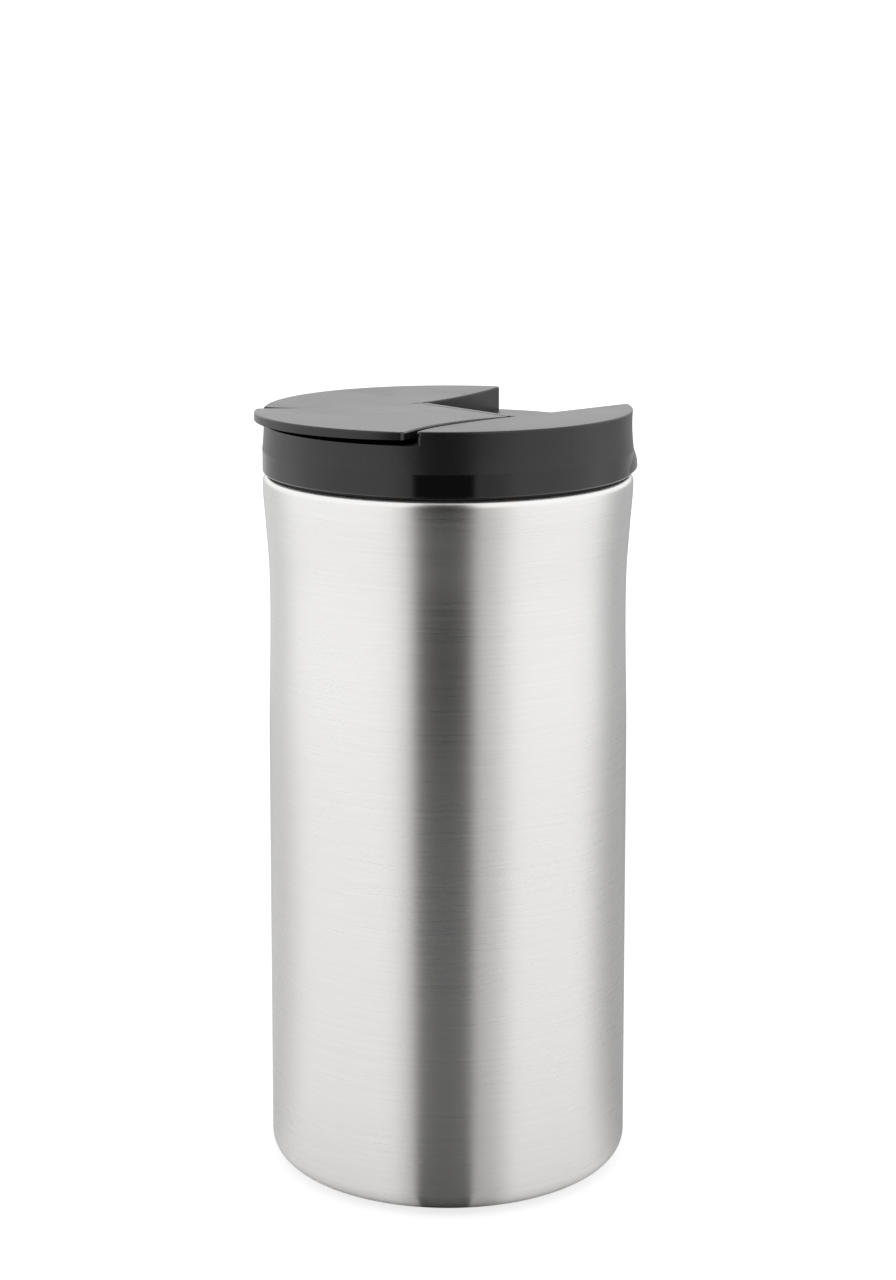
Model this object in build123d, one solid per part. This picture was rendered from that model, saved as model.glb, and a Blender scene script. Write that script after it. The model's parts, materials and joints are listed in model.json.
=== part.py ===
from build123d import *
import math
import os

# Insulated travel mug with a screw lid and a flip lever over the mouth.
# Millimetres, +Z up, origin at the centre of the underside of the foot pad.
# The lever's tab points to -Y, the recess that it folds into to +Y.

# Whole object
BASE_RADIUS = 40.0
WAIST_RADIUS = 39.62
RIM_RADIUS = 41.07
RIM_TOP = 155.6
LID_TOP = 170.0
STEEL = 0.8
LINER_WALL = 0.6
STRAIGHT_TOP = 95.0
WAIST_Z = 124.0
FLARE = [(39.78, 135.0), (40.4, 144.0)]
RIM_BEND = 1.7

# Foot
FOOT_TOP = 1.6
FOOT_RADIUS = 33.8
FOOT_CHAMFER = 0.3
SHELL_BOTTOM = 0.8
BOTTOM_BEND = 4.0
CURL_RADIUS = 34.0
BASE_CAP_RADIUS = 36.0
SHELL_BASE_Z = 5.0
SHELL_BASE_SKIRT = 4.0
SEAL_HOLE_RADIUS = 1.0
GETTER_RADIUS = 4.0
GETTER_THICKNESS = 1.2
GETTER_X = 15.0

# Liner
LINER_RADIUS = 36.0
LINER_BOTTOM = 9.0
LINER_WELD = 16.0
LINER_CORNER = 5.0
NECK_RADIUS = 37.4
NECK_BOTTOM = 137.5
NECK_TAPER = 2.4
FOIL_GAP = 0.1
FOIL = 0.15
FOIL_BOTTOM = 18.0
FOIL_TOP = 133.5

# Thread between the neck and the plug of the lid
LEAD = 12.0
STARTS = 3
RIDGE_TURN = 150.0
RIDGE_ROOT = 1.8
RIDGE_TIP = 1.0
RIDGE_HEIGHT = 0.95
RIDGE_SINK = 0.15
NECK_RIDGE_Z = 148.4
PLUG_RIDGE_DROP = 2.05

# Lid base
SEAM = 0.5
SEAM_CLEAR = 0.05
GASKET_INNER = 37.8
GASKET_RADIUS = 40.3
BAND_BOTTOM = RIM_TOP + SEAM
BAND_TOP = 161.0
BAND_RADIUS = 41.05
BAND_INNER = 39.0
FLANGE_TOP = 158.1
PLUG_RADIUS = 36.15
PLUG_INNER = 34.3
PLUG_BOTTOM = 141.0
PLUG_FLOOR = 143.0
PLUG_CHAMFER = 0.6
BAND_CHAMFER = 0.3
LIP_REACH = 43.2
LIP_OFFSET = 4.47
LIP_TOP_INSET = 1.0
LIP_ROLL_INSET = 0.9
LIP_ROLL_RISE = 1.1

# Lid cover
COVER_RADIUS = 41.1
COVER_WAIST = 40.75
COVER_WAIST_RISE = 4.5
COVER_TOP_RADIUS = 40.85
COVER_GAP = 0.02
DISH_DEPTH = 1.25
TONGUE_INNER = 38.0
TONGUE_OUTER = 38.9
TONGUE_BOTTOM = 158.6
VALLEY_HALF = 15.5
RECESS_CURVE = 108.0
NOTCH_CURVE = 50.0
NOTCH_REACH = 42.5
RECESS_FLOOR = 164.5
NOTCH_FLOOR = 166.9
FLOOR_STEP_Y = 2.0
DECK = 1.6
VALLEY_WALL = 3.0
CRESCENT_ROOF = 167.5
POCKET_RADIUS = 37.6
CORNER_ROUND = 1.2
EDGE_ROUND = 0.4

# Drinking mouth and vent
MOUTH_Y = -25.5
MOUTH_RADIUS = 6.0
DUCT_WALL = 1.3
VENT_Y = -8.0
VENT_RADIUS = 1.5
DUCT_TOP = 164.5

# Lever
LEVER_GAP = 0.4
LEVER_END_Y = 6.6
LEVER_END_TOP = 168.92
LEVER_TILT = 1.55
LEVER_BOTTOM = 167.7
LEVER_CURVE = 53.0
TAB_TIP_Y = -44.5
TAB_CORNER_X = 25.5
TAB_CORNER_Y = -33.8
TAB_BEVEL = 9.0
TAB_BEVEL_RISE = 0.7
HINGE_Y = 4.6
HINGE_Z = 167.4
PIN_RADIUS = 0.9
PIN_CLEAR = 0.06
KNUCKLE_RADIUS = 1.7
BOSS_RADIUS = 2.0
BOSS_BOTTOM = 164.8
VENT_PIN_RADIUS = 0.6
VENT_PIN_BOTTOM = 166.3

# Silicone plugs under the lever
PLUG_FLANGE = 0.4
STOPPER_FLANGE_RADIUS = 7.2
STOPPER_ROOT_RADIUS = 5.8
STOPPER_SHOULDER_RADIUS = 5.1
STOPPER_TIP_RADIUS = 4.6
STOPPER_TIP_CHAMFER = 0.4
STOPPER_DEPTH = 4.1
VENT_FLANGE_RADIUS = 2.2
VENT_ROOT_RADIUS = 1.3
VENT_TIP_RADIUS = 0.9
VENT_DEPTH = 2.2


def turned(*edges):
    """Solid of revolution about Z from edges that close an outline in (radius, height)."""
    return revolve(Plane.XZ * make_face(edges), Axis.Z)


def turned_polygon(*points):
    """Solid of revolution about Z from a polygon of (radius, height) corners."""
    return revolve(Plane.XZ * Polygon(*points, align=None), Axis.Z)


def tube(inner, outer, bottom, top, y=0.0):
    """Upright tube, or a disc where inner is 0, with its axis at (0, y)."""
    body = Cylinder(outer, top - bottom, align=(Align.CENTER, Align.CENTER, Align.MIN))
    if inner > 0:
        body -= Cylinder(inner, top - bottom, align=(Align.CENTER, Align.CENTER, Align.MIN))
    return Pos(0, y, bottom) * body


def thread_ridges(radius, z_start, outward):
    """Evenly spaced right-hand ridges on a cylinder, pointing out of it or into it."""
    side = 1 if outward else -1
    root = radius - side * RIDGE_SINK
    tip = radius + side * RIDGE_HEIGHT
    section = Plane.XZ * Polygon(
        (root, -RIDGE_ROOT / 2),
        (tip, -RIDGE_TIP / 2),
        (tip, RIDGE_TIP / 2),
        (root, RIDGE_ROOT / 2),
        align=None,
    )
    path = Helix(pitch=LEAD, height=LEAD * RIDGE_TURN / 360, radius=radius)
    ridge = sweep(section, path=path, is_frenet=True)
    ridges = []
    for start in range(STARTS):
        ridges.append(Pos(0, 0, z_start) * Rot(0, 0, start * 360 / STARTS) * ridge)
    return ridges


# ---------------------------------------------------------------- vessel


def outer_shell():
    """Brushed steel outer wall, with a soft waist, a flared rim and a curled-in bottom."""
    bend = BASE_RADIUS - BOTTOM_BEND
    bend_z = SHELL_BOTTOM + BOTTOM_BEND
    inner_bend = BOTTOM_BEND - STEEL
    rim_z = RIM_TOP - RIM_BEND
    rim_r = RIM_RADIUS - RIM_BEND
    up = (0, 1)
    wall = [(BASE_RADIUS, STRAIGHT_TOP), (WAIST_RADIUS, WAIST_Z), *FLARE, (RIM_RADIUS, rim_z)]
    lining = [(r - STEEL, z) for r, z in wall]
    return turned(
        Line((CURL_RADIUS, SHELL_BOTTOM), (bend, SHELL_BOTTOM)),
        CenterArc((bend, bend_z), BOTTOM_BEND, -90, 90),
        Line((BASE_RADIUS, bend_z), wall[0]),
        Spline(*wall, tangents=(up, up)),
        CenterArc((rim_r, rim_z), RIM_BEND, 0, 90),
        Line((rim_r, RIM_TOP), (NECK_RADIUS + STEEL, RIM_TOP)),
        Line((NECK_RADIUS + STEEL, RIM_TOP), (NECK_RADIUS + STEEL, RIM_TOP - STEEL)),
        Line((NECK_RADIUS + STEEL, RIM_TOP - STEEL), (rim_r, RIM_TOP - STEEL)),
        CenterArc((rim_r, rim_z), RIM_BEND - STEEL, 0, 90),
        Spline(*lining, tangents=(up, up)),
        Line(lining[0], (BASE_RADIUS - STEEL, bend_z)),
        CenterArc((bend, bend_z), inner_bend, -90, 90),
        Line((bend, SHELL_BOTTOM + STEEL), (CURL_RADIUS, SHELL_BOTTOM + STEEL)),
        Line((CURL_RADIUS, SHELL_BOTTOM + STEEL), (CURL_RADIUS, SHELL_BOTTOM)),
    )


def inner_liner():
    """Liner tube with the wider neck and the formed thread ridges that hold the lid."""
    outer = LINER_RADIUS + LINER_WALL
    neck_outer = NECK_RADIUS + STEEL
    liner = turned_polygon(
        (LINER_RADIUS, LINER_WELD),
        (outer, LINER_WELD),
        (outer, NECK_BOTTOM - NECK_TAPER),
        (neck_outer, NECK_BOTTOM),
        (neck_outer, RIM_TOP),
        (NECK_RADIUS, RIM_TOP),
        (NECK_RADIUS, NECK_BOTTOM + 0.2),
        (LINER_RADIUS, NECK_BOTTOM + 0.2 - NECK_TAPER),
    )
    for ridge in thread_ridges(NECK_RADIUS, NECK_RIDGE_Z, outward=False):
        liner += ridge
    return liner


def liner_bottom():
    """Drawn cup that closes the liner, butt-welded to its tube."""
    outer = LINER_RADIUS + LINER_WALL
    floor = LINER_BOTTOM + LINER_WALL
    corner = (outer - LINER_CORNER, LINER_BOTTOM + LINER_CORNER)
    return turned(
        Line((0, LINER_BOTTOM), (corner[0], LINER_BOTTOM)),
        CenterArc(corner, LINER_CORNER, -90, 90),
        Line((outer, corner[1]), (outer, LINER_WELD)),
        Line((outer, LINER_WELD), (LINER_RADIUS, LINER_WELD)),
        Line((LINER_RADIUS, LINER_WELD), (LINER_RADIUS, corner[1])),
        CenterArc(corner, LINER_CORNER - LINER_WALL, -90, 90),
        Line((corner[0], floor), (0, floor)),
        Line((0, floor), (0, LINER_BOTTOM)),
    )


def radiation_foil():
    """Thin bright foil wrapped round the liner inside the vacuum gap."""
    inner = LINER_RADIUS + LINER_WALL + FOIL_GAP
    return tube(inner, inner + FOIL, FOIL_BOTTOM, FOIL_TOP)


def shell_base():
    """Pressed disc that closes the vacuum space, with the evacuation hole in its centre."""
    skirt = BASE_RADIUS - STEEL
    top = SHELL_BASE_Z + STEEL
    disc = turned_polygon(
        (SEAL_HOLE_RADIUS, SHELL_BASE_Z),
        (skirt, SHELL_BASE_Z),
        (skirt, SHELL_BASE_Z + SHELL_BASE_SKIRT),
        (skirt - STEEL, SHELL_BASE_Z + SHELL_BASE_SKIRT),
        (skirt - STEEL, top),
        (SEAL_HOLE_RADIUS, top),
    )
    return disc


def vacuum_seal():
    """Glass bead that closes the evacuation hole."""
    return turned_polygon(
        (0, SHELL_BASE_Z - 1.3),
        (1.2, SHELL_BASE_Z - 1.1),
        (2.1, SHELL_BASE_Z - 0.5),
        (2.4, SHELL_BASE_Z),
        (SEAL_HOLE_RADIUS, SHELL_BASE_Z),
        (SEAL_HOLE_RADIUS, SHELL_BASE_Z + STEEL),
        (0, SHELL_BASE_Z + STEEL),
    )


def getter():
    """Small pill that keeps the vacuum clean, fixed on the vacuum side of the shell base."""
    bottom = SHELL_BASE_Z + STEEL
    return Pos(GETTER_X, 0, 0) * tube(0, GETTER_RADIUS, bottom, bottom + GETTER_THICKNESS)


def base_cap():
    """Steel disc pressed in behind the curled edge; it hides the vacuum seal."""
    return tube(0, BASE_CAP_RADIUS, FOOT_TOP, FOOT_TOP + STEEL)


def foot_pad():
    """Silicone pad glued under the base cap, standing a little proud of the steel."""
    pad = tube(0, FOOT_RADIUS, 0, FOOT_TOP)
    return chamfer(pad.faces().sort_by(Axis.Z)[0].edges(), FOOT_CHAMFER)


# ---------------------------------------------------------------- valley in the lid


def valley_side(y, curve, half=VALLEY_HALF):
    """Half-width of the valley at y: straight at the waist, flaring on a circle of radius curve."""
    return half + curve - math.sqrt(curve ** 2 - y ** 2)


def valley_plan(half, recess_curve, notch_curve, y_low, y_high):
    """Plan of the hourglass valley between y_low and y_high, half-width half at the waist."""
    low = valley_side(y_low, notch_curve, half)
    high = valley_side(y_high, recess_curve, half)
    mid_low = valley_side(y_low / 2, notch_curve, half)
    mid_high = valley_side(y_high / 2, recess_curve, half)
    return make_face([
        Line((-low, y_low), (low, y_low)),
        ThreePointArc((low, y_low), (mid_low, y_low / 2), (half, 0)),
        ThreePointArc((half, 0), (mid_high, y_high / 2), (high, y_high)),
        Line((high, y_high), (-high, y_high)),
        ThreePointArc((-high, y_high), (-mid_high, y_high / 2), (-half, 0)),
        ThreePointArc((-half, 0), (-mid_low, y_low / 2), (-low, y_low)),
    ])


def corner_waste(side, curve, end):
    """Plan of the waste outside a rounded corner, where the valley's side meets the rim.

    side is the sign of X, curve the radius of the valley's side and end the sign of Y.
    """
    side_centre = Vector(side * (VALLEY_HALF + curve), 0)
    to_side = curve - CORNER_ROUND
    to_axis = COVER_TOP_RADIUS - CORNER_ROUND
    x = (side_centre.X ** 2 + to_axis ** 2 - to_side ** 2) / (2 * side_centre.X)
    centre = Vector(x, end * math.sqrt(to_axis ** 2 - x ** 2))
    to_valley = (centre - side_centre).normalized() * 3 * CORNER_ROUND
    to_rim = centre.normalized() * 3 * CORNER_ROUND
    wedge = make_face(Polyline(
        centre,
        centre + to_valley,
        centre + to_valley + to_rim,
        centre + to_rim,
        close=True,
    ))
    return wedge - Pos(centre.X, centre.Y) * Circle(CORNER_ROUND)


def prism(plan, bottom, top):
    """Upright solid over a plan."""
    return Pos(0, 0, bottom) * extrude(plan, top - bottom)


def dish(centre_z):
    """Large ball whose underside hollows the top of the lid."""
    ball = (COVER_TOP_RADIUS ** 2 + DISH_DEPTH ** 2) / (2 * DISH_DEPTH)
    return Pos(0, 0, centre_z + ball) * Sphere(ball)


def half_space(y_low, y_high, bottom, top):
    """Box across the whole lid between two y values."""
    size = 2 * BAND_RADIUS + 20
    box = Box(size, y_high - y_low, top - bottom, align=(Align.CENTER, Align.MIN, Align.MIN))
    return Pos(0, y_low, bottom) * box


# ---------------------------------------------------------------- lid


def lid_gasket():
    """Flat silicone ring between the steel rim and the lid."""
    return tube(GASKET_INNER, GASKET_RADIUS, RIM_TOP + SEAM_CLEAR, BAND_BOTTOM - SEAM_CLEAR)


def drip_lip():
    """Swelling of the band on the recess side, a skewed disc whose edge fades into the band."""
    radius = LIP_REACH - LIP_OFFSET
    top = BAND_TOP
    section = [
        Line((0, BAND_BOTTOM), (radius - LIP_ROLL_INSET, BAND_BOTTOM)),
        ThreePointArc(
            (radius - LIP_ROLL_INSET, BAND_BOTTOM),
            (radius - 0.2, BAND_BOTTOM + 0.35),
            (radius, BAND_BOTTOM + LIP_ROLL_RISE),
        ),
        Spline(
            (radius, BAND_BOTTOM + LIP_ROLL_RISE),
            (radius - LIP_TOP_INSET, top),
            tangents=((0, 1), (-0.4, 1)),
        ),
        Line((radius - LIP_TOP_INSET, top), (0, top)),
        Line((0, top), (0, BAND_BOTTOM)),
    ]
    disc = Pos(0, LIP_OFFSET, 0) * turned(*section)
    return disc - tube(0, BAND_INNER + 0.5, BAND_BOTTOM - 1, top + 1)


def lid_base():
    """Gloss band, flange and threaded plug in one moulding, with the drink and vent ducts."""
    base = turned_polygon(
        (0, PLUG_BOTTOM),
        (PLUG_RADIUS - PLUG_CHAMFER, PLUG_BOTTOM),
        (PLUG_RADIUS, PLUG_BOTTOM + PLUG_CHAMFER),
        (PLUG_RADIUS, BAND_BOTTOM),
        (BAND_RADIUS - BAND_CHAMFER, BAND_BOTTOM),
        (BAND_RADIUS, BAND_BOTTOM + BAND_CHAMFER),
        (BAND_RADIUS, BAND_TOP),
        (BAND_INNER, BAND_TOP),
        (BAND_INNER, FLANGE_TOP),
        (PLUG_INNER, FLANGE_TOP),
        (PLUG_INNER, PLUG_FLOOR),
        (0, PLUG_FLOOR),
    )
    base += drip_lip()
    base += tube(0, MOUTH_RADIUS + DUCT_WALL, PLUG_BOTTOM + 0.5, DUCT_TOP, MOUTH_Y)
    base += tube(0, VENT_RADIUS + DUCT_WALL, PLUG_BOTTOM + 0.5, DUCT_TOP, VENT_Y)
    base -= tube(0, MOUTH_RADIUS, PLUG_BOTTOM - 1, DUCT_TOP + 1, MOUTH_Y)
    base -= tube(0, VENT_RADIUS, PLUG_BOTTOM - 1, DUCT_TOP + 1, VENT_Y)
    for ridge in thread_ridges(PLUG_RADIUS, NECK_RIDGE_Z - PLUG_RIDGE_DROP, outward=True):
        base += ridge
    return base


def lid_insulation():
    """Foam disc that fills the plug round the two ducts."""
    foam = tube(0, PLUG_INNER - 0.2, PLUG_FLOOR + 0.1, RIM_TOP + 1.5)
    foam -= tube(0, MOUTH_RADIUS + DUCT_WALL + 0.2, PLUG_BOTTOM, LID_TOP, MOUTH_Y)
    foam -= tube(0, VENT_RADIUS + DUCT_WALL + 0.2, PLUG_BOTTOM, LID_TOP, VENT_Y)
    return foam


def cover_seal():
    """Flat ring under the tongue of the cover that keeps washing water out of the lid."""
    return tube(TONGUE_INNER, TONGUE_OUTER, FLANGE_TOP, TONGUE_BOTTOM)


def mouth_seal():
    """Silicone ring between the drink duct and the underside of the cover."""
    return tube(MOUTH_RADIUS, MOUTH_RADIUS + DUCT_WALL, DUCT_TOP, NOTCH_FLOOR - DECK, MOUTH_Y)


def vent_seal():
    """Silicone ring between the vent duct and the underside of the cover."""
    return tube(VENT_RADIUS, VENT_RADIUS + DUCT_WALL, DUCT_TOP, NOTCH_FLOOR - DECK, VENT_Y)


def lid_cover():
    """Matt top of the lid: two hollow crescents beside the valley that holds the lever."""
    bottom = BAND_TOP + COVER_GAP
    reach = COVER_RADIUS + 5
    cover = turned(
        Line((0, bottom), (COVER_RADIUS, bottom)),
        Spline(
            (COVER_RADIUS, bottom),
            (COVER_WAIST, bottom + COVER_WAIST_RISE),
            (COVER_TOP_RADIUS, LID_TOP),
        ),
        Line((COVER_TOP_RADIUS, LID_TOP), (0, LID_TOP)),
        Line((0, LID_TOP), (0, bottom)),
    )
    cover -= dish(LID_TOP - DISH_DEPTH)
    valley = valley_plan(VALLEY_HALF, RECESS_CURVE, NOTCH_CURVE, -NOTCH_REACH, reach)
    cover -= prism(valley, NOTCH_FLOOR, LID_TOP + 1)
    cover -= prism(valley, RECESS_FLOOR, LID_TOP + 1) & half_space(FLOOR_STEP_Y, reach, bottom, LID_TOP + 1)
    for side in (-1, 1):
        cover -= prism(corner_waste(side, RECESS_CURVE, 1), RECESS_FLOOR, LID_TOP + 1)
        cover -= prism(corner_waste(side, NOTCH_CURVE, -1), NOTCH_FLOOR, LID_TOP + 1)

    deck_under = RECESS_FLOOR - DECK
    notch_under = NOTCH_FLOOR - DECK
    cover -= tube(0, TONGUE_INNER, bottom - 1, deck_under)
    under_notch = tube(0, TONGUE_INNER, deck_under - 0.5, notch_under)
    cover -= under_notch & half_space(-reach, FLOOR_STEP_Y - DECK, bottom, LID_TOP)
    wall = valley_plan(VALLEY_HALF + VALLEY_WALL, RECESS_CURVE, NOTCH_CURVE, -NOTCH_REACH, reach)
    pocket = tube(0, POCKET_RADIUS, deck_under - 0.5, CRESCENT_ROOF) - prism(wall, bottom, LID_TOP)
    for crescent in pocket.solids():
        cover -= crescent

    cover += tube(TONGUE_INNER, TONGUE_OUTER, TONGUE_BOTTOM, bottom + 0.5)
    cover -= tube(0, MOUTH_RADIUS, notch_under - 1, LID_TOP, MOUTH_Y)
    cover -= tube(0, VENT_RADIUS, notch_under - 1, LID_TOP, VENT_Y)
    cover -= hinge_rod(PIN_RADIUS, VALLEY_HALF + VALLEY_WALL)
    crests = cover.faces().filter_by(GeomType.SPHERE)
    return fillet(crests.edges(), EDGE_ROUND)


def hinge_rod(radius, half_length):
    """Round rod along X on the hinge axis of the lever."""
    return Pos(0, HINGE_Y, HINGE_Z) * Rot(0, 90, 0) * Cylinder(radius, 2 * half_length)


def hinge_pin():
    """Steel pin pressed into the walls of the two crescents."""
    return hinge_rod(PIN_RADIUS, VALLEY_HALF + VALLEY_WALL - 0.3)


# ---------------------------------------------------------------- lever


def lever_plan():
    """Plan of the lever: straight narrow end, waisted sides and a rounded overhanging tab."""
    half = VALLEY_HALF - LEVER_GAP
    end = half + 0.1
    mid_y = TAB_CORNER_Y / 2
    mid = valley_side(mid_y, LEVER_CURVE, half)
    return make_face([
        Line((-end, LEVER_END_Y), (end, LEVER_END_Y)),
        Line((end, LEVER_END_Y), (half, 0)),
        ThreePointArc((half, 0), (mid, mid_y), (TAB_CORNER_X, TAB_CORNER_Y)),
        ThreePointArc((TAB_CORNER_X, TAB_CORNER_Y), (0, TAB_TIP_Y), (-TAB_CORNER_X, TAB_CORNER_Y)),
        ThreePointArc((-TAB_CORNER_X, TAB_CORNER_Y), (-mid, mid_y), (-half, 0)),
        Line((-half, 0), (-end, LEVER_END_Y)),
    ])


def above_lever():
    """Block over the flat top of the lever, which rises gently from the hinge to the tab."""
    size = 4 * BAND_RADIUS
    block = Box(size, size, LID_TOP - LEVER_BOTTOM + 5, align=(Align.CENTER, Align.CENTER, Align.MIN))
    return Pos(0, LEVER_END_Y, LEVER_END_TOP) * Rot(-LEVER_TILT, 0, 0) * block


def lever():
    """Lever plate with the hinge knuckle, the stopper boss and a bevelled finger tab."""
    drop = TAB_CORNER_Y - TAB_TIP_Y
    tab_radius = (TAB_CORNER_X ** 2 + drop ** 2) / (2 * drop)
    tab_centre_y = TAB_TIP_Y + tab_radius
    plate = prism(lever_plan(), LEVER_BOTTOM, LID_TOP + 3)
    corners = plate.edges().filter_by(Axis.Z).group_by(Axis.Y)[0:2]
    plate = fillet([e for group in corners for e in group], CORNER_ROUND)
    plate -= above_lever()
    bevel = turned_polygon(
        (tab_radius - TAB_BEVEL, LEVER_BOTTOM - 0.1),
        (tab_radius - TAB_BEVEL, LEVER_BOTTOM),
        (tab_radius + 0.5, LEVER_BOTTOM + TAB_BEVEL_RISE),
        (tab_radius + 0.5, LEVER_BOTTOM - 0.1),
    )
    plate -= (Pos(0, tab_centre_y, 0) * bevel) & half_space(-60, -20, LEVER_BOTTOM - 1, LID_TOP)
    crest = plate.faces().sort_by(Axis.Z)[-1]
    plate = fillet(crest.edges(), EDGE_ROUND)
    plate += hinge_rod(KNUCKLE_RADIUS, VALLEY_HALF - LEVER_GAP - 0.1)
    plate -= hinge_rod(PIN_RADIUS + PIN_CLEAR, VALLEY_HALF + 5)
    plate += tube(0, BOSS_RADIUS, BOSS_BOTTOM, LEVER_BOTTOM + 0.3, MOUTH_Y)
    plate += tube(0, VENT_PIN_RADIUS, VENT_PIN_BOTTOM, LEVER_BOTTOM + 0.3, VENT_Y)
    return plate


def mouth_stopper():
    """Silicone plug with a thin flange, pushed over the boss of the lever."""
    flange_under = LEVER_BOTTOM - PLUG_FLANGE
    flange = tube(0, STOPPER_FLANGE_RADIUS, flange_under, LEVER_BOTTOM, MOUTH_Y)
    tip = LEVER_BOTTOM - STOPPER_DEPTH
    plug = turned_polygon(
        (0, tip),
        (STOPPER_TIP_RADIUS, tip),
        (STOPPER_SHOULDER_RADIUS, tip + STOPPER_TIP_CHAMFER),
        (STOPPER_ROOT_RADIUS, flange_under),
        (0, flange_under),
    )
    stopper = flange + Pos(0, MOUTH_Y, 0) * plug
    return stopper - tube(0, BOSS_RADIUS, BOSS_BOTTOM, LEVER_BOTTOM + 1, MOUTH_Y)


def vent_plug():
    """Small silicone plug that closes the vent with the same stroke."""
    flange_under = LEVER_BOTTOM - PLUG_FLANGE
    flange = tube(0, VENT_FLANGE_RADIUS, flange_under, LEVER_BOTTOM, VENT_Y)
    tip = LEVER_BOTTOM - VENT_DEPTH
    plug = turned_polygon(
        (0, tip),
        (VENT_TIP_RADIUS, tip),
        (VENT_ROOT_RADIUS, flange_under),
        (0, flange_under),
    )
    body = flange + Pos(0, VENT_Y, 0) * plug
    return body - tube(0, VENT_PIN_RADIUS, VENT_PIN_BOTTOM, LEVER_BOTTOM + 1, VENT_Y)


# ---------------------------------------------------------------- write one file per piece

PIECES = {
    "outer_shell": outer_shell,
    "inner_liner": inner_liner,
    "liner_bottom": liner_bottom,
    "radiation_foil": radiation_foil,
    "shell_base": shell_base,
    "vacuum_seal": vacuum_seal,
    "getter": getter,
    "base_cap": base_cap,
    "foot_pad": foot_pad,
    "lid_gasket": lid_gasket,
    "lid_base": lid_base,
    "lid_insulation": lid_insulation,
    "cover_seal": cover_seal,
    "mouth_seal": mouth_seal,
    "vent_seal": vent_seal,
    "lid_cover": lid_cover,
    "hinge_pin": hinge_pin,
    "lever": lever,
    "mouth_stopper": mouth_stopper,
    "vent_plug": vent_plug,
}

os.makedirs("parts", exist_ok=True)
for name, make in PIECES.items():
    export_step(make(), f"parts/{name}.step")
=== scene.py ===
"""Looks of an insulated travel mug: brushed steel body, screw lid and flip lever."""

import json
import logging
import math
from collections.abc import Sequence
from dataclasses import dataclass
from enum import Enum

import bmesh
import bpy
from mathutils import Matrix, Vector


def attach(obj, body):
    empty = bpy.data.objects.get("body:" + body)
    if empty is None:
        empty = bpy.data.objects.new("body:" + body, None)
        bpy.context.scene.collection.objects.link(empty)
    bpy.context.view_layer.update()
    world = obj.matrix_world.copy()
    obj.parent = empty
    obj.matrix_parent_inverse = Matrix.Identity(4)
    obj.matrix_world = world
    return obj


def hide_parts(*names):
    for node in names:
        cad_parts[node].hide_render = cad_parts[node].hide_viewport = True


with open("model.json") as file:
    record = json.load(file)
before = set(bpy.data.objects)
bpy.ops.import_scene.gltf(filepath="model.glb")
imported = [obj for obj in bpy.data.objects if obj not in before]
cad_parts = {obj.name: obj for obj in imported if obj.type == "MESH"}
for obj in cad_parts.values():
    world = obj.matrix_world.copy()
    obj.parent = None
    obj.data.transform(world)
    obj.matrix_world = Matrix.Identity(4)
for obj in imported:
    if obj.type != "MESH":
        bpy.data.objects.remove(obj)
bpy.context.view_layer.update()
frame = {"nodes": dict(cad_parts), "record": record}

log = logging.getLogger("mug")
MM = 0.001
MEAN = 0.5  # average of a noise
QUARTER_TURN = 0.25
Triple = tuple[float, float, float]
Place = tuple[float, float]


# ---------------------------------------------------------------- shader maths


class Field:
    """A number that varies over a surface; Python operators on it add Math nodes."""

    def __init__(self, tree: bpy.types.NodeTree, socket: bpy.types.NodeSocket) -> None:
        """Wraps one output socket.

        Args:
            tree: Node tree that the socket belongs to.
            socket: Output socket that gives the number.
        """
        self.tree = tree
        self.socket = socket

    def apply(self, operation: str, other: "Field | float", flip: bool = False) -> "Field":
        """Adds one Math node.

        Args:
            operation: Name of the Math operation.
            other: The other operand, a number or a field.
            flip: True puts this field after the other operand.

        Returns:
            The result as a new field.
        """
        math_node = self.tree.nodes.new("ShaderNodeMath")
        math_node.operation = operation
        operands = (other, self) if flip else (self, other)
        for slot, operand in zip(math_node.inputs, operands):
            if isinstance(operand, Field):
                self.tree.links.new(operand.socket, slot)
            else:
                slot.default_value = operand
        return Field(self.tree, math_node.outputs[0])

    def __add__(self, other: "Field | float") -> "Field":
        """Sum."""
        return self.apply("ADD", other)

    def __radd__(self, other: float) -> "Field":
        """Sum with the number first."""
        return self.apply("ADD", other)

    def __sub__(self, other: "Field | float") -> "Field":
        """Difference."""
        return self.apply("SUBTRACT", other)

    def __rsub__(self, other: float) -> "Field":
        """Difference with the number first."""
        return self.apply("SUBTRACT", other, flip=True)

    def __mul__(self, other: "Field | float") -> "Field":
        """Product."""
        return self.apply("MULTIPLY", other)

    def __rmul__(self, other: float) -> "Field":
        """Product with the number first."""
        return self.apply("MULTIPLY", other)

    def __truediv__(self, other: "Field | float") -> "Field":
        """Quotient."""
        return self.apply("DIVIDE", other)

    def __pow__(self, other: float) -> "Field":
        """Power."""
        return self.apply("POWER", other)

    def ramp(self, low: float, high: float) -> "Field":
        """Smooth rise from 0 to 1.

        Args:
            low: Value where the rise starts.
            high: Value where it ends.

        Returns:
            The rise as a new field.
        """
        node = self.tree.nodes.new("ShaderNodeMapRange")
        node.interpolation_type = "SMOOTHSTEP"
        node.inputs["From Min"].default_value = low
        node.inputs["From Max"].default_value = high
        self.tree.links.new(self.socket, node.inputs["Value"])
        return Field(self.tree, node.outputs["Result"])


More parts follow.
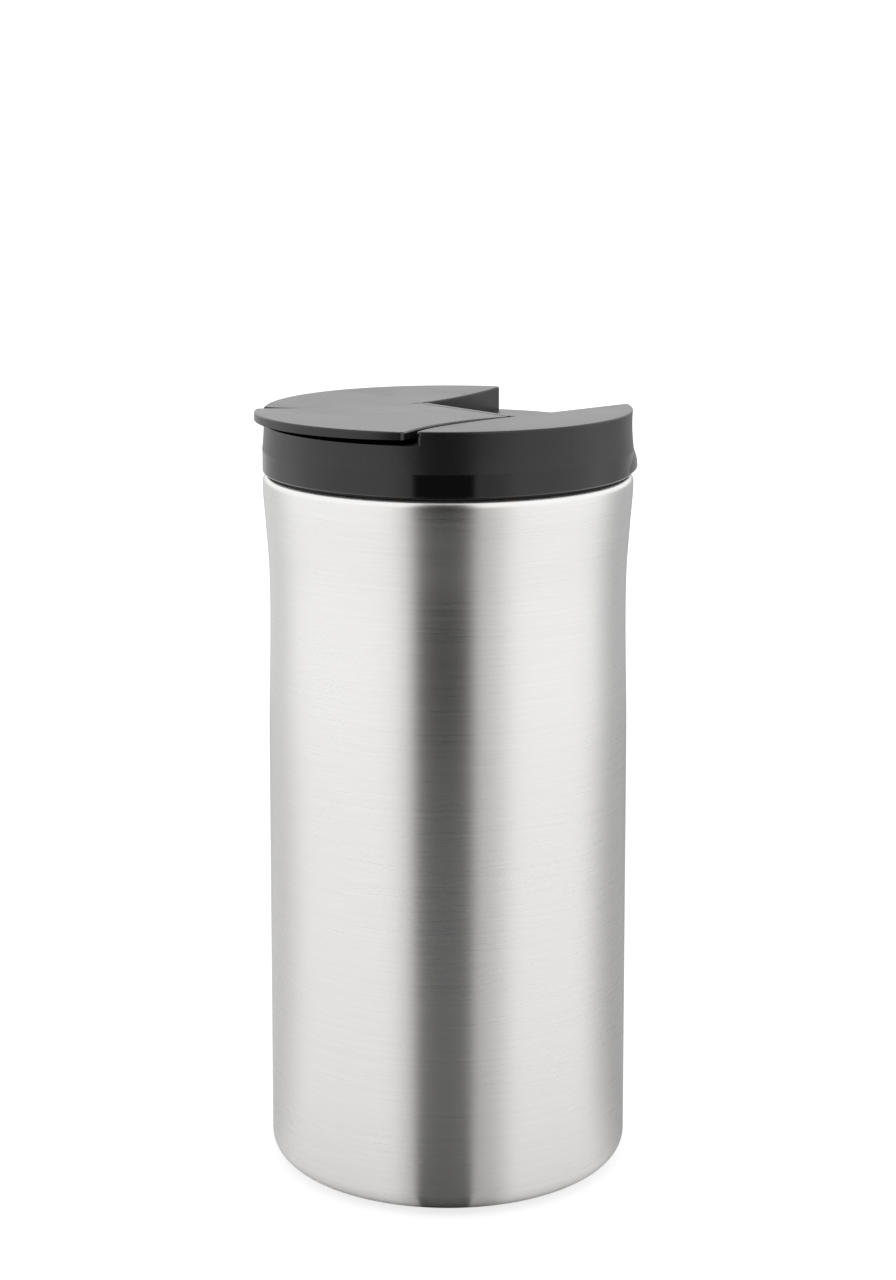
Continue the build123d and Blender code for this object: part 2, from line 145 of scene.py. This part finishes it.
class NodeSheet:
    """Node tree of one material or of the world, with methods that add its nodes."""

    def __init__(self, tree: bpy.types.NodeTree) -> None:
        """Takes over a tree and empties it.

        Args:
            tree: Tree to fill.
        """
        self.tree = tree
        self.tree.nodes.clear()

    def add(self, kind: str, settings: dict[str, object] | None = None, **sockets: object) -> bpy.types.Node:
        """Adds one node.

        Args:
            kind: Node type, such as ShaderNodeTexNoise.
            settings: Properties of the node, set before its sockets.
            sockets: Values, fields or sockets by input name, with _ for a space.

        Returns:
            The node.
        """
        node = self.tree.nodes.new(kind)
        for name, value in (settings or {}).items():
            setattr(node, name, value)
        for name, value in sockets.items():
            slot = node.inputs[name.replace("_", " ")]
            if isinstance(value, Field):
                self.tree.links.new(value.socket, slot)
            elif isinstance(value, bpy.types.NodeSocket):
                self.tree.links.new(value, slot)
            else:
                slot.default_value = value
        return node

    def field(self, node: bpy.types.Node, output: str | int = 0) -> Field:
        """One output of a node as a field."""
        return Field(self.tree, node.outputs[output])

    def noise(self, place: bpy.types.NodeSocket, scale: Triple, detail: float) -> Field:
        """Noise on a scaled place.

        Args:
            place: Vector socket with the place.
            scale: Cells per metre along each axis.
            detail: Octaves of finer noise.

        Returns:
            The noise, about 0.5 on average.
        """
        mapping = self.add("ShaderNodeMapping", {"vector_type": "POINT"}, Vector=place, Scale=scale)
        node = self.add("ShaderNodeTexNoise", Vector=mapping.outputs[0], Scale=1.0, Detail=detail)
        return self.field(node, "Fac")

    def blend(self, start: Triple, end: Triple, share: Field) -> bpy.types.NodeSocket:
        """Blend of two colours.

        Args:
            start: Colour where the share is 0.
            end: Colour where the share is 1.
            share: How much of the end colour is in the blend.

        Returns:
            Socket with the blended colour.
        """
        node = self.add("ShaderNodeMix", {"data_type": "RGBA"}, Factor=share)
        colours = [slot for slot in node.inputs if slot.type == "RGBA"]
        for slot, colour in zip(colours, (start, end)):
            slot.default_value = (*colour, 1)
        return next(slot for slot in node.outputs if slot.type == "RGBA")

    def choose(self, first: bpy.types.Node, second: bpy.types.Node, share: Field | float) -> bpy.types.Node:
        """Mix of two shaders.

        Args:
            first: Shader where the share is 0.
            second: Shader where the share is 1.
            share: How much of the second shader is in the mix.

        Returns:
            The Mix Shader node.
        """
        node = self.add("ShaderNodeMixShader", Fac=share)
        for shader, slot in zip((first, second), node.inputs[1:]):
            self.tree.links.new(shader.outputs[0], slot)
        return node


# ---------------------------------------------------------------- finishes


class Grain(Enum):
    """How the tool left a moulding's surface, as the change in roughness from grain to grain."""

    POLISHED = 0.03
    SPARKED = 0.07
    SOFT = 0.05


@dataclass(frozen=True)
class Brushed:
    """Steel brushed in fine lines round the mug's axis.

    Args:
        colour: Reflectance of the bare metal.
        roughness: Mean roughness.
        streaks: Change in roughness from line to line.
        relief_mm: Depth of the brushed lines.
        lines_per_mm: Lines across one millimetre of height.
        anisotropy: How far the gloss spreads across the lines.
        contrast: Change in brightness from line to line.
        line_cells: Cells per metre along the long brushed lines.
        line_share: Density of the long lines as a share of the density of the strokes.
        stroke_cells: Cells per metre along the short strokes.
        haze_cells: Cells per metre of the faint handling haze.
        haze: Change in roughness from place to place.
        bump: Strength of the relief.
    """

    colour: Triple = (0.745, 0.74, 0.735)
    roughness: float = 0.285
    streaks: float = 0.11
    relief_mm: float = 0.0004
    lines_per_mm: float = 4.5
    anisotropy: float = 0.6
    contrast: float = 0.035
    line_cells: float = 20.0
    line_share: float = 0.55
    stroke_cells: float = 80.0
    haze_cells: Triple = (30.0, 30.0, 22.0)
    haze: float = 0.04
    bump: float = 0.5

    def make(self, name: str) -> bpy.types.Material:
        """Builds the material.

        Args:
            name: Name of the material.

        Returns:
            The material.
        """
        material = bpy.data.materials.new(name)
        material.use_nodes = True
        sheet = NodeSheet(material.node_tree)
        place = sheet.add("ShaderNodeTexCoord").outputs["Object"]
        density = self.lines_per_mm / MM
        lines = sheet.noise(place, (self.line_cells, self.line_cells, density * self.line_share), 4.0)
        strokes = sheet.noise(place, (self.stroke_cells, self.stroke_cells, density), 2.0)
        haze = sheet.noise(place, self.haze_cells, 3.0)
        mix = (lines + strokes) * 0.5
        rough = (mix - MEAN) * self.streaks + (haze - MEAN) * self.haze + self.roughness
        dark = tuple(c * (1 - self.contrast) for c in self.colour)
        light = tuple(min(c * (1 + self.contrast), 1.0) for c in self.colour)
        bump = sheet.add("ShaderNodeBump", Height=mix, Strength=self.bump, Distance=self.relief_mm * MM)
        shader = sheet.add(
            "ShaderNodeBsdfPrincipled",
            Base_Color=sheet.blend(dark, light, mix.ramp(0.25, 0.75)),
            Metallic=1.0,
            Roughness=rough,
            Anisotropic=self.anisotropy,
            Anisotropic_Rotation=QUARTER_TURN,
            Normal=bump.outputs[0],
        )
        sheet.add("ShaderNodeOutputMaterial", Surface=shader.outputs[0])
        return material


@dataclass(frozen=True)
class Moulding:
    """Plastic or silicone moulding with the grain of its tool and light wear.

    Args:
        colour: Colour of the compound.
        roughness: Mean roughness.
        grain: Surface left by the tool.
        grain_mm: Size of one grain.
        relief_mm: Height of the grain.
        dust: Share of pale dust and rub marks.
        index: Refractive index.
        patch_cells: Cells per metre of the wide patches.
        rub_cells: Cells per metre of the rub marks.
        patches: Change in roughness from patch to patch.
        rubbed: Extra roughness of a rub mark at full dust.
        paler: Brightness of the dusty colour over the clean one.
        dust_glint: Reflectance that full dust adds.
        bump: Strength of the relief.
    """

    colour: Triple = (0.012, 0.012, 0.013)
    roughness: float = 0.45
    grain: Grain = Grain.SPARKED
    grain_mm: float = 0.22
    relief_mm: float = 0.012
    dust: float = 0.3
    index: float = 1.5
    patch_cells: float = 55.0
    rub_cells: float = 210.0
    patches: float = 0.10
    rubbed: float = 0.08
    paler: float = 1.5
    dust_glint: float = 0.010
    bump: float = 0.6

    def make(self, name: str) -> bpy.types.Material:
        """Builds the material.

        Args:
            name: Name of the material.

        Returns:
            The material.
        """
        material = bpy.data.materials.new(name)
        material.use_nodes = True
        sheet = NodeSheet(material.node_tree)
        place = sheet.add("ShaderNodeTexCoord").outputs["Object"]
        fine = sheet.noise(place, (1 / (self.grain_mm * MM),) * 3, 3.0)
        wide = sheet.noise(place, (self.patch_cells,) * 3, 4.0)
        rub = sheet.noise(place, (self.rub_cells,) * 3, 3.0).ramp(0.56, 0.74)
        rough = (fine - MEAN) * self.grain.value + (wide - MEAN) * self.patches
        rough = rough + rub * (self.rubbed * self.dust) + self.roughness
        pale = tuple(c * self.paler + self.dust_glint * self.dust for c in self.colour)
        bump = sheet.add("ShaderNodeBump", Height=fine, Strength=self.bump, Distance=self.relief_mm * MM)
        shader = sheet.add(
            "ShaderNodeBsdfPrincipled",
            Base_Color=sheet.blend(self.colour, pale, wide.ramp(0.35, 0.75) * self.dust),
            Roughness=rough,
            IOR=self.index,
            Normal=bump.outputs[0],
        )
        sheet.add("ShaderNodeOutputMaterial", Surface=shader.outputs[0])
        return material


class Finishes:
    """Every finish of the mug, made once."""

    def __init__(self) -> None:
        """Makes the materials by slot name."""
        lid_black = (0.007, 0.007, 0.0075)
        band_black = (0.005, 0.005, 0.0055)
        recipes: dict[str, Brushed | Moulding] = {
            "brushed_shell": Brushed(),
            "liner_steel": Brushed(colour=(0.66, 0.66, 0.65), roughness=0.34, lines_per_mm=2.0),
            "plain_steel": Brushed(colour=(0.62, 0.62, 0.61), roughness=0.36, lines_per_mm=1.5),
            "pin_steel": Brushed(colour=(0.68, 0.68, 0.68), roughness=0.2, streaks=0.05, anisotropy=0.0),
            "foil": Brushed(colour=(0.86, 0.86, 0.87), roughness=0.18, streaks=0.05, anisotropy=0.0),
            "getter_metal": Brushed(colour=(0.42, 0.42, 0.44), roughness=0.6, anisotropy=0.0),
            "gloss_black": Moulding(band_black, 0.09, Grain.POLISHED, relief_mm=0.0006, dust=0.15),
            "matt_black": Moulding(lid_black, 0.28),
            "lever_black": Moulding(lid_black, 0.27),
            "black_silicone": Moulding(roughness=0.62, grain=Grain.SOFT, relief_mm=0.006, index=1.42),
            "foot_silicone": Moulding((0.03, 0.03, 0.03), 0.66, Grain.SOFT, index=1.42),
            "foam": Moulding((0.78, 0.75, 0.66), 0.9, Grain.SOFT, grain_mm=0.6, dust=0.1),
            "seal_glass": Moulding((0.10, 0.12, 0.11), 0.15, Grain.POLISHED, dust=0.1),
        }
        self.by_slot = {slot: recipe.make(slot) for slot, recipe in recipes.items()}

    def dress(self, obj: bpy.types.Object, slot: str) -> None:
        """Gives an object the material of a slot."""
        obj.data.materials.clear()
        obj.data.materials.append(self.by_slot[slot])


# ---------------------------------------------------------------- turned pieces


class Outline:
    """Closed outline of a turned piece, in millimetres of radius and height."""

    def __init__(self, *corners: Place) -> None:
        """Starts with corners joined by straight runs.

        Args:
            corners: Places as (radius, height).
        """
        self.places: list[Place] = list(corners)

    def line(self, *corners: Place) -> "Outline":
        """Adds straight runs to further corners."""
        self.places.extend(corners)
        return self

    def bend(self, centre: Place, size: float, start: float, end: float, steps: int) -> "Outline":
        """Adds an arc.

        Args:
            centre: Centre of the arc.
            size: Radius of the arc.
            start: First angle in degrees, 0 being outward and 90 up.
            end: Last angle in degrees.
            steps: Parts that the arc is cut into.

        Returns:
            The outline.
        """
        for step in range(steps + 1):
            angle = math.radians(start + (end - start) * step / steps)
            self.places.append((centre[0] + size * math.cos(angle), centre[1] + size * math.sin(angle)))
        return self

    def flow(self, knots: Sequence[Place], steps: int = 10) -> "Outline":
        """Adds a smooth wall through knots that starts and ends upright.

        Args:
            knots: Places that the wall goes through.
            steps: Parts between two knots.

        Returns:
            The outline.
        """
        slopes = [0.0]
        for before, after in zip(knots, knots[2:]):
            slopes.append((after[0] - before[0]) / (after[1] - before[1]))
        slopes.append(0.0)
        for (r0, z0), (r1, z1), slope0, slope1 in zip(knots, knots[1:], slopes, slopes[1:]):
            rise = z1 - z0
            for step in range(steps + 1):
                t = step / steps
                radius = (2 * t**3 - 3 * t**2 + 1) * r0 + (3 * t**2 - 2 * t**3) * r1
                radius += ((t**3 - 2 * t**2 + t) * slope0 + (t**3 - t**2) * slope1) * rise
                self.places.append((radius, z0 + t * rise))
        return self


@dataclass
class Turned:
    """Piece of revolution that stands for one or more CAD nodes.

    Args:
        name: Name of the piece.
        stands_for: CAD nodes that it replaces.
        body: Body that it moves with.
        finish: Material slot.
        outline: Outline in the plane of the axis.
        place: Where the axis stands, in metres.
        turns: Steps round the axis.
        crease: Angle from which an edge stays sharp, in degrees.
        tilt: Turn of the axis about Y, in degrees.
    """

    name: str
    stands_for: tuple[str, ...]
    body: str
    finish: str
    outline: Outline
    place: Triple = (0.0, 0.0, 0.0)
    turns: int = 128
    crease: float = 38.0
    tilt: float = 0.0

    def build(self, finishes: Finishes) -> bpy.types.Object:
        """Spins the outline and hangs the piece on its body.

        Args:
            finishes: Materials by slot.

        Returns:
            The new object.
        """
        shape = bmesh.new()
        ring = [shape.verts.new((radius * MM, 0.0, height * MM)) for radius, height in self.outline.places]
        sides = [shape.edges.new(pair) for pair in zip(ring, ring[1:] + ring[:1])]
        bmesh.ops.spin(
            shape,
            geom=ring + sides,
            cent=(0, 0, 0),
            axis=(0, 0, 1),
            angle=math.tau,
            steps=self.turns,
            use_merge=True,
        )
        bmesh.ops.remove_doubles(shape, verts=shape.verts, dist=1e-7)
        bmesh.ops.dissolve_degenerate(shape, edges=shape.edges, dist=1e-8)
        if self.tilt:
            turn = Matrix.Rotation(math.radians(self.tilt), 3, "Y")
            bmesh.ops.rotate(shape, verts=shape.verts, matrix=turn)
        bmesh.ops.translate(shape, verts=shape.verts, vec=self.place)
        bmesh.ops.recalc_face_normals(shape, faces=shape.faces)
        mesh = bpy.data.meshes.new(self.name)
        shape.to_mesh(mesh)
        shape.free()
        mesh.shade_smooth()
        mesh.set_sharp_from_angle(angle=math.radians(self.crease))
        obj = bpy.data.objects.new(self.name, mesh)
        bpy.context.scene.collection.objects.link(obj)
        finishes.dress(obj, self.finish)
        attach(obj, self.body)
        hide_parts(*self.stands_for)
        return obj


@dataclass(frozen=True)
class Vessel:
    """Sizes of the steel vessel and its foot, in millimetres.

    Args:
        base: Radius of the straight lower body.
        waist: Knots of the waisted upper wall, as radius and height.
        rim_top: Height of the rim.
        rim_bend: Outer radius of the rim's bend.
        bottom: Height of the curled bottom edge.
        bottom_bend: Outer radius of the bottom bend.
        curl: Radius where the curled edge ends.
        neck: Radius of the hole for the liner's neck.
        steel: Thickness of the steel.
        foot: Radius of the foot pad.
        foot_top: Thickness of the foot pad.
        foot_edge: Radius of the foot pad's rounded edge.
        foot_hollow: Depth of the hollow underside.
        foot_ring: Width of the ring that the mug stands on.
        foot_slope: Width of the slope between ring and hollow.
    """

    base: float = 40.0
    waist: tuple[Place, ...] = (
        (40.0, 95.0),
        (39.62, 124.0),
        (39.78, 135.0),
        (40.4, 144.0),
        (41.07, 153.9),
    )
    rim_top: float = 155.6
    rim_bend: float = 1.7
    bottom: float = 0.8
    bottom_bend: float = 4.0
    curl: float = 34.0
    neck: float = 38.2
    steel: float = 0.8
    foot: float = 33.8
    foot_top: float = 1.6
    foot_edge: float = 0.55
    foot_hollow: float = 0.25
    foot_ring: float = 3.0
    foot_slope: float = 0.6

    def shell(self) -> Turned:
        """Brushed outer wall with its rolled rim and curled bottom.

        Returns:
            The piece.
        """
        bend = (self.base - self.bottom_bend, self.bottom + self.bottom_bend)
        rim = (self.waist[-1][0] - self.rim_bend, self.rim_top - self.rim_bend)
        lining = [(radius - self.steel, height) for radius, height in self.waist]
        roll = self.steel / 2
        outline = Outline()
        outline.bend((self.curl + roll, self.bottom + roll), roll, 270, 90, 8)
        outline.line((bend[0], self.bottom + self.steel))
        outline.bend(bend, self.bottom_bend - self.steel, 270, 360, 12)
        outline.line(lining[0])
        outline.flow(lining)
        outline.bend(rim, self.rim_bend - self.steel, 0, 90, 8)
        outline.line((self.neck, self.rim_top - self.steel), (self.neck, self.rim_top))
        outline.bend(rim, self.rim_bend, 90, 0, 14)
        outline.flow(self.waist[::-1])
        outline.line((self.base, bend[1]))
        outline.bend(bend, self.bottom_bend, 360, 270, 20)
        return Turned(
            name="steel_wall",
            stands_for=("outer_shell",),
            body="mug",
            finish="brushed_shell",
            outline=outline,
            turns=256,
        )

    def pad(self) -> Turned:
        """Foot pad with a soft edge and a slightly hollow underside.

        Returns:
            The piece.
        """
        inner, hollow = self.foot - self.foot_ring, self.foot_hollow
        outline = Outline((0, hollow), (inner - self.foot_slope, hollow), (inner, 0))
        outline.bend((self.foot - self.foot_edge, self.foot_edge), self.foot_edge, -90, 0, 8)
        outline.line((self.foot, self.foot_top), (0, self.foot_top))
        return Turned(
            name="soft_foot",
            stands_for=("foot_pad",),
            body="mug",
            finish="foot_silicone",
            outline=outline,
            turns=192,
            crease=50.0,
        )


@dataclass(frozen=True)
class LidParts:
    """Sizes of the small turned parts of the lid, in millimetres.

    Args:
        gasket_inner: Inner radius of the lid gasket.
        gasket_outer: Outer radius of the lid gasket.
        gasket_z: Lowest and highest point of the gasket.
        under_lever: Height of the lever's underside.
        mouth_y: Y of the drinking mouth.
        vent_y: Y of the vent.
        hinge: Y and Z of the hinge.
        pin: Radius and half length of the hinge pin.
        pin_chamfer: Chamfer at the pin's ends.
    """

    gasket_inner: float = 37.8
    gasket_outer: float = 40.3
    gasket_z: Place = (155.65, 156.05)
    under_lever: float = 167.7
    mouth_y: float = -25.5
    vent_y: float = -8.0
    hinge: Place = (4.6, 167.4)
    pin: Place = (0.9, 18.2)
    pin_chamfer: float = 0.2

    def gasket(self) -> Turned:
        """Flat silicone ring with rounded edges.

        Returns:
            The piece.
        """
        low, high = self.gasket_z
        roll = (high - low) / 2
        middle = (low + high) / 2
        outline = Outline()
        outline.bend((self.gasket_outer - roll, middle), roll, -90, 90, 8)
        outline.bend((self.gasket_inner + roll, middle), roll, 90, 270, 8)
        return Turned(
            name="soft_gasket",
            stands_for=("lid_gasket",),
            body="gasket",
            finish="black_silicone",
            outline=outline,
            turns=192,
            crease=60.0,
        )

    def stopper(self) -> Turned:
        """Mouth stopper: flange, two sealing ribs and a rounded nose, hollow over the boss.

        Returns:
            The piece.
        """
        top = self.under_lever
        boss, hollow = 2.0, top - 2.9
        flange, flange_edge = 7.0, 0.2
        neck = 5.95
        ribs = ((5.45, 1.3, 0.38), (5.25, 2.5, 0.36))  # centre's radius, depth and size
        shoulder = top - 3.4
        tip, tip_edge, tip_z = 4.35, 0.6, top - 3.5
        outline = Outline((boss, top), (flange, top))
        outline.bend((flange, top - flange_edge), flange_edge, 90, -90, 6)
        outline.line((neck, top - 2 * flange_edge))
        for radius, depth, size in ribs:
            outline.bend((radius, top - depth), size, 60, -60, 6)
        outline.line((tip + tip_edge, shoulder))
        outline.bend((tip, tip_z), tip_edge, 0, -90, 8)
        outline.line((0, tip_z - tip_edge), (0, hollow), (boss, hollow))
        return Turned(
            name="ribbed_stopper",
            stands_for=("mouth_stopper",),
            body="lever",
            finish="black_silicone",
            outline=outline,
            place=(0.0, self.mouth_y * MM, 0.0),
            turns=96,
            crease=55.0,
        )

    def vent(self) -> Turned:
        """Vent plug with a rounded nose, hollow over the pin of the lever.

        Returns:
            The piece.
        """
        top = self.under_lever
        boss, hollow = 0.6, top - 1.4
        flange, flange_edge = 2.05, 0.15
        stem, stem_top = 1.3, top - 0.4
        tip, tip_edge, tip_z = 0.6, 0.4, top - 1.8
        outline = Outline((boss, top), (flange, top))
        outline.bend((flange, top - flange_edge), flange_edge, 90, -90, 6)
        outline.line((stem, stem_top), (tip + tip_edge, tip_z))
        outline.bend((tip, tip_z), tip_edge, 0, -90, 6)
        outline.line((0, tip_z - tip_edge), (0, hollow), (boss, hollow))
        return Turned(
            name="soft_vent_plug",
            stands_for=("vent_plug",),
            body="lever",
            finish="black_silicone",
            outline=outline,
            place=(0.0, self.vent_y * MM, 0.0),
            turns=64,
            crease=55.0,
        )

    def hinge_pin(self) -> Turned:
        """Ground steel pin with small chamfers at its ends.

        Returns:
            The piece.
        """
        radius, half = self.pin
        face, shank = radius - self.pin_chamfer, half - self.pin_chamfer
        outline = Outline((0, -half), (face, -half), (radius, -shank))
        outline.line((radius, shank), (face, half), (0, half))
        return Turned(
            name="ground_pin",
            stands_for=("hinge_pin",),
            body="lid",
            finish="pin_steel",
            outline=outline,
            place=(0.0, self.hinge[0] * MM, self.hinge[1] * MM),
            turns=48,
            crease=30.0,
            tilt=90.0,
        )


# ---------------------------------------------------------------- studio


@dataclass
class Studio:
    """White tent with one dark gap at the viewer's side, a pale floor and the camera.

    Args:
        azimuth: Where the viewer stands, in degrees from -Y towards +X.
        distance: Level distance in metres from the mug's axis to the camera.
        height: Camera height in metres over the floor.
        pitch: How far the camera looks down, in degrees.
        lens: Focal length in millimetres.
        sensor: Longer side of the sensor in millimetres.
        shift: Vertical shift of the lens.
        glow: Radiance of the tent.
        seen_glow: Radiance of the tent where the camera looks at it.
        gap_half: Half the width of the dark gap, in degrees.
        gap_turn: Turn of the gap's middle from the viewer's side towards the left card, in degrees.
        gap_soft: Half the width of the gap's soft edge, in degrees.
        gap_depth: Share of light that the gap takes from the tent.
        gap_end: Sines of the elevations where the gap fades out at its top.
        right_card: Azimuth of the right grey card from the viewer's side, in degrees.
        left_card: The same for the left card, counted the other way.
        card_half: Half the width of a card, in degrees.
        card_soft: Half the width of a card's soft edge, in degrees.
        right_shade: Share of light that the right card takes away.
        left_shade: Share of light that the left card takes away.
        card_end: Sines of the elevations where cards and shoulder fade out at their top.
        shoulder_turn: Azimuth of the gap's soft shoulder from the viewer's side, in degrees.
        shoulder_half: Half the width of the shoulder, in degrees.
        shoulder_soft: Half the width of the shoulder's soft edge, in degrees.
        shoulder_shade: Share of light that the shoulder takes away.
        warm_half: Half the width of the warmer light round the gap, in degrees.
        warm_tint: Colour of that light.
        roof: Extra radiance straight above.
        roof_rise: Sines of the elevations between which the roof's light comes in.
        backdrop: Extra radiance over the horizon.
        floor_radius: Radius of the white floor in metres.
        floor_gap: Share of the floor's colour that the painted shade of the gap takes away in reflections.
        floor_lead: Distance in metres from the axis towards the viewer to where the floor's painted shade
            wedges start.
        floor_white: Reflectance of the floor.
        floor_shade: Brightness of the floor's colour in reflections, a painted shade over the whole floor.
        floor_spread: Degrees by which the cards' painted shade is wider on the floor.
        floor_glow: Share of the floor's own brightness that hides contact shadows.
        floor_light: Radiance of that brightness.
    """

    azimuth: float = 49.5
    distance: float = 0.560
    height: float = 0.2416
    pitch: float = 7.35
    lens: float = 71.8
    sensor: float = 36.0
    shift: float = -0.18
    glow: float = 1.16
    seen_glow: float = 1.3
    gap_half: float = 18.5
    gap_turn: float = 2.5
    gap_soft: float = 2.0
    gap_depth: float = 0.99
    gap_end: Place = (0.8, 0.97)
    right_card: float = 152.0
    left_card: float = 158.0
    card_half: float = 30.0
    card_soft: float = 22.0
    right_shade: float = 0.55
    left_shade: float = 0.35
    card_end: Place = (-0.05, 0.2)
    shoulder_turn: float = 4.0
    shoulder_half: float = 30.0
    shoulder_soft: float = 12.0
    shoulder_shade: float = 0.42
    warm_half: float = 48.0
    warm_tint: Triple = (1.0, 0.975, 0.955)
    roof: float = 0.12
    roof_rise: Place = (0.1, 1.0)
    backdrop: float = 0.08
    floor_radius: float = 0.45
    floor_gap: float = 0.75
    floor_lead: float = 0.022
    floor_white: float = 0.97
    floor_shade: float = 0.90
    floor_spread: float = 12.0
    floor_glow: float = 0.7
    floor_light: float = 1.1

    def direction(self, azimuth: float) -> Vector:
        """Level direction from the axis towards an azimuth."""
        turn = math.radians(azimuth)
        return Vector((math.sin(turn), -math.cos(turn), 0.0))

    def place_camera(self) -> None:
        """Makes the camera and gives it to the scene."""
        data = bpy.data.cameras.new("camera")
        data.lens = self.lens
        data.sensor_width = self.sensor
        data.shift_y = self.shift
        data.clip_start = 0.01
        camera = bpy.data.objects.new("camera", data)
        camera.location = self.direction(self.azimuth) * self.distance + Vector((0, 0, self.height))
        look = -self.direction(self.azimuth)
        look.z = -math.tan(math.radians(self.pitch))
        camera.rotation_mode = "QUATERNION"
        camera.rotation_quaternion = look.to_track_quat("-Z", "Y")
        bpy.context.scene.collection.objects.link(camera)
        bpy.context.scene.camera = camera

    def wedge(
        self, sheet: NodeSheet, place: bpy.types.NodeSocket, turn: float, half: float, soft: float
    ) -> Field:
        """Upright wedge round the mug's axis.

        Args:
            sheet: Node tree to add to.
            place: Vector from the mug's axis.
            turn: Azimuth of the wedge's middle from the viewer's side, in degrees.
            half: Half its width in degrees.
            soft: Half the width of its soft edge in degrees.

        Returns:
            1 inside the wedge and 0 outside it.
        """
        parts = sheet.add("ShaderNodeSeparateXYZ", Vector=place)
        x, y = sheet.field(parts, 0), sheet.field(parts, 1)
        middle = self.direction(self.azimuth + turn)
        level = (x * x + y * y + 1e-9) ** 0.5
        towards = (x * middle.x + y * middle.y) / level
        return towards.ramp(math.cos(math.radians(half + soft)), math.cos(math.radians(half - soft)))

    def veil(self, sheet: NodeSheet, place: bpy.types.NodeSocket, spread: float = 0.0) -> Field:
        """Light that the soft shoulder of the gap and the grey cards at both sides let through; the floor
        uses the same share as painted shade in its colour.

        Args:
            sheet: Node tree to add to.
            place: Vector from the mug's axis.
            spread: Degrees by which the cards reach further towards the viewer.

        Returns:
            The share, 1 where nothing is in the way.
        """
        half = self.card_half + spread
        shoulder = self.wedge(sheet, place, self.shoulder_turn, self.shoulder_half, self.shoulder_soft)
        right = self.wedge(sheet, place, self.right_card, half, self.card_soft)
        left = self.wedge(sheet, place, -self.left_card, half, self.card_soft)
        cards = (1 - right * self.right_shade) * (1 - left * self.left_shade)
        return (1 - shoulder * self.shoulder_shade) * cards

    def light_tent(self) -> None:
        """Fills the world with an even glow that has a dark upright gap and a grey card at each side."""
        world = bpy.data.worlds.new("tent")
        world.use_nodes = True
        bpy.context.scene.world = world
        sheet = NodeSheet(world.node_tree)
        way = sheet.add("ShaderNodeTexCoord").outputs["Generated"]
        z = sheet.field(sheet.add("ShaderNodeSeparateXYZ", Vector=way), 2)
        gap = self.wedge(sheet, way, -self.gap_turn, self.gap_half, self.gap_soft)
        gap = gap * (1 - z.ramp(*self.gap_end))
        low = 1 - z.ramp(*self.card_end)
        cards = self.veil(sheet, way) * low + (1 - low)
        roof = z.ramp(*self.roof_rise) * self.roof
        sky = (1 - low) * self.backdrop
        strength = (1 - gap * self.gap_depth) * cards * (roof + sky + self.glow)
        seen = sheet.field(sheet.add("ShaderNodeLightPath"), "Is Camera Ray")
        glow = seen * self.seen_glow + (1 - seen) * strength
        warm = self.wedge(sheet, way, self.shoulder_turn, self.warm_half, self.shoulder_soft)
        tint = sheet.blend((1, 1, 1), self.warm_tint, warm)
        background = sheet.add("ShaderNodeBackground", Color=tint, Strength=glow)
        sheet.add("ShaderNodeOutputWorld", Surface=background.outputs[0])

    def lay_floor(self) -> None:
        """Makes the round white floor, with the shade of the gap and cards painted into its colour where it
        is seen in reflections.
        """
        mesh = bpy.data.meshes.new("floor")
        shape = bmesh.new()
        bmesh.ops.create_circle(shape, cap_ends=True, segments=96, radius=self.floor_radius)
        shape.to_mesh(mesh)
        shape.free()
        floor = bpy.data.objects.new("floor", mesh)
        bpy.context.scene.collection.objects.link(floor)
        paint = bpy.data.materials.new("floor_white")
        paint.use_nodes = True
        sheet = NodeSheet(paint.node_tree)
        coords = sheet.add("ShaderNodeTexCoord").outputs["Object"]
        apex = self.direction(self.azimuth) * self.floor_lead
        place = sheet.add("ShaderNodeMapping", Vector=coords, Location=-apex).outputs[0]
        seen = sheet.field(sheet.add("ShaderNodeLightPath"), "Is Camera Ray")
        # Painted shade: for rays other than the camera's, the floor's colour goes darker in the wedges of
        # the gap, the shoulder and the cards.
        gap = self.wedge(sheet, place, -self.gap_turn, self.gap_half, self.gap_soft)
        light = self.veil(sheet, place, self.floor_spread) * (1 - gap * self.floor_gap) * self.floor_shade
        white = sheet.add("ShaderNodeBsdfDiffuse", Color=(*[self.floor_white] * 3, 1))
        black = sheet.add("ShaderNodeBsdfDiffuse", Color=(0.0, 0.0, 0.0, 1))
        glow = sheet.add("ShaderNodeEmission", Strength=self.floor_light)
        lit = sheet.choose(black, white, light)
        pale = sheet.choose(white, glow, self.floor_glow)
        shader = sheet.choose(lit, pale, seen)
        sheet.add("ShaderNodeOutputMaterial", Surface=shader.outputs[0])
        mesh.materials.append(paint)

    def build(self) -> None:
        """Sets camera, light, floor and plain colours."""
        self.place_camera()
        self.light_tent()
        self.lay_floor()
        bpy.context.scene.view_settings.view_transform = "Standard"


def main() -> None:
    """Builds the studio and the mug."""
    logging.basicConfig(level=logging.INFO, format="%(message)s")
    finishes = Finishes()
    for entry in frame["record"]["subparts"]:
        finishes.dress(frame["nodes"][entry["node"]], entry["material_slot"])
        log.info("%s: dressed in %s", entry["node"], entry["material_slot"])
    vessel = Vessel()
    lid = LidParts()
    for piece in (vessel.shell(), vessel.pad(), lid.gasket(), lid.stopper(), lid.vent(), lid.hinge_pin()):
        made = piece.build(finishes)
        log.info("%s: %d faces", made.name, len(made.data.polygons))
    Studio().build()


if __name__ == "__main__":
    main()
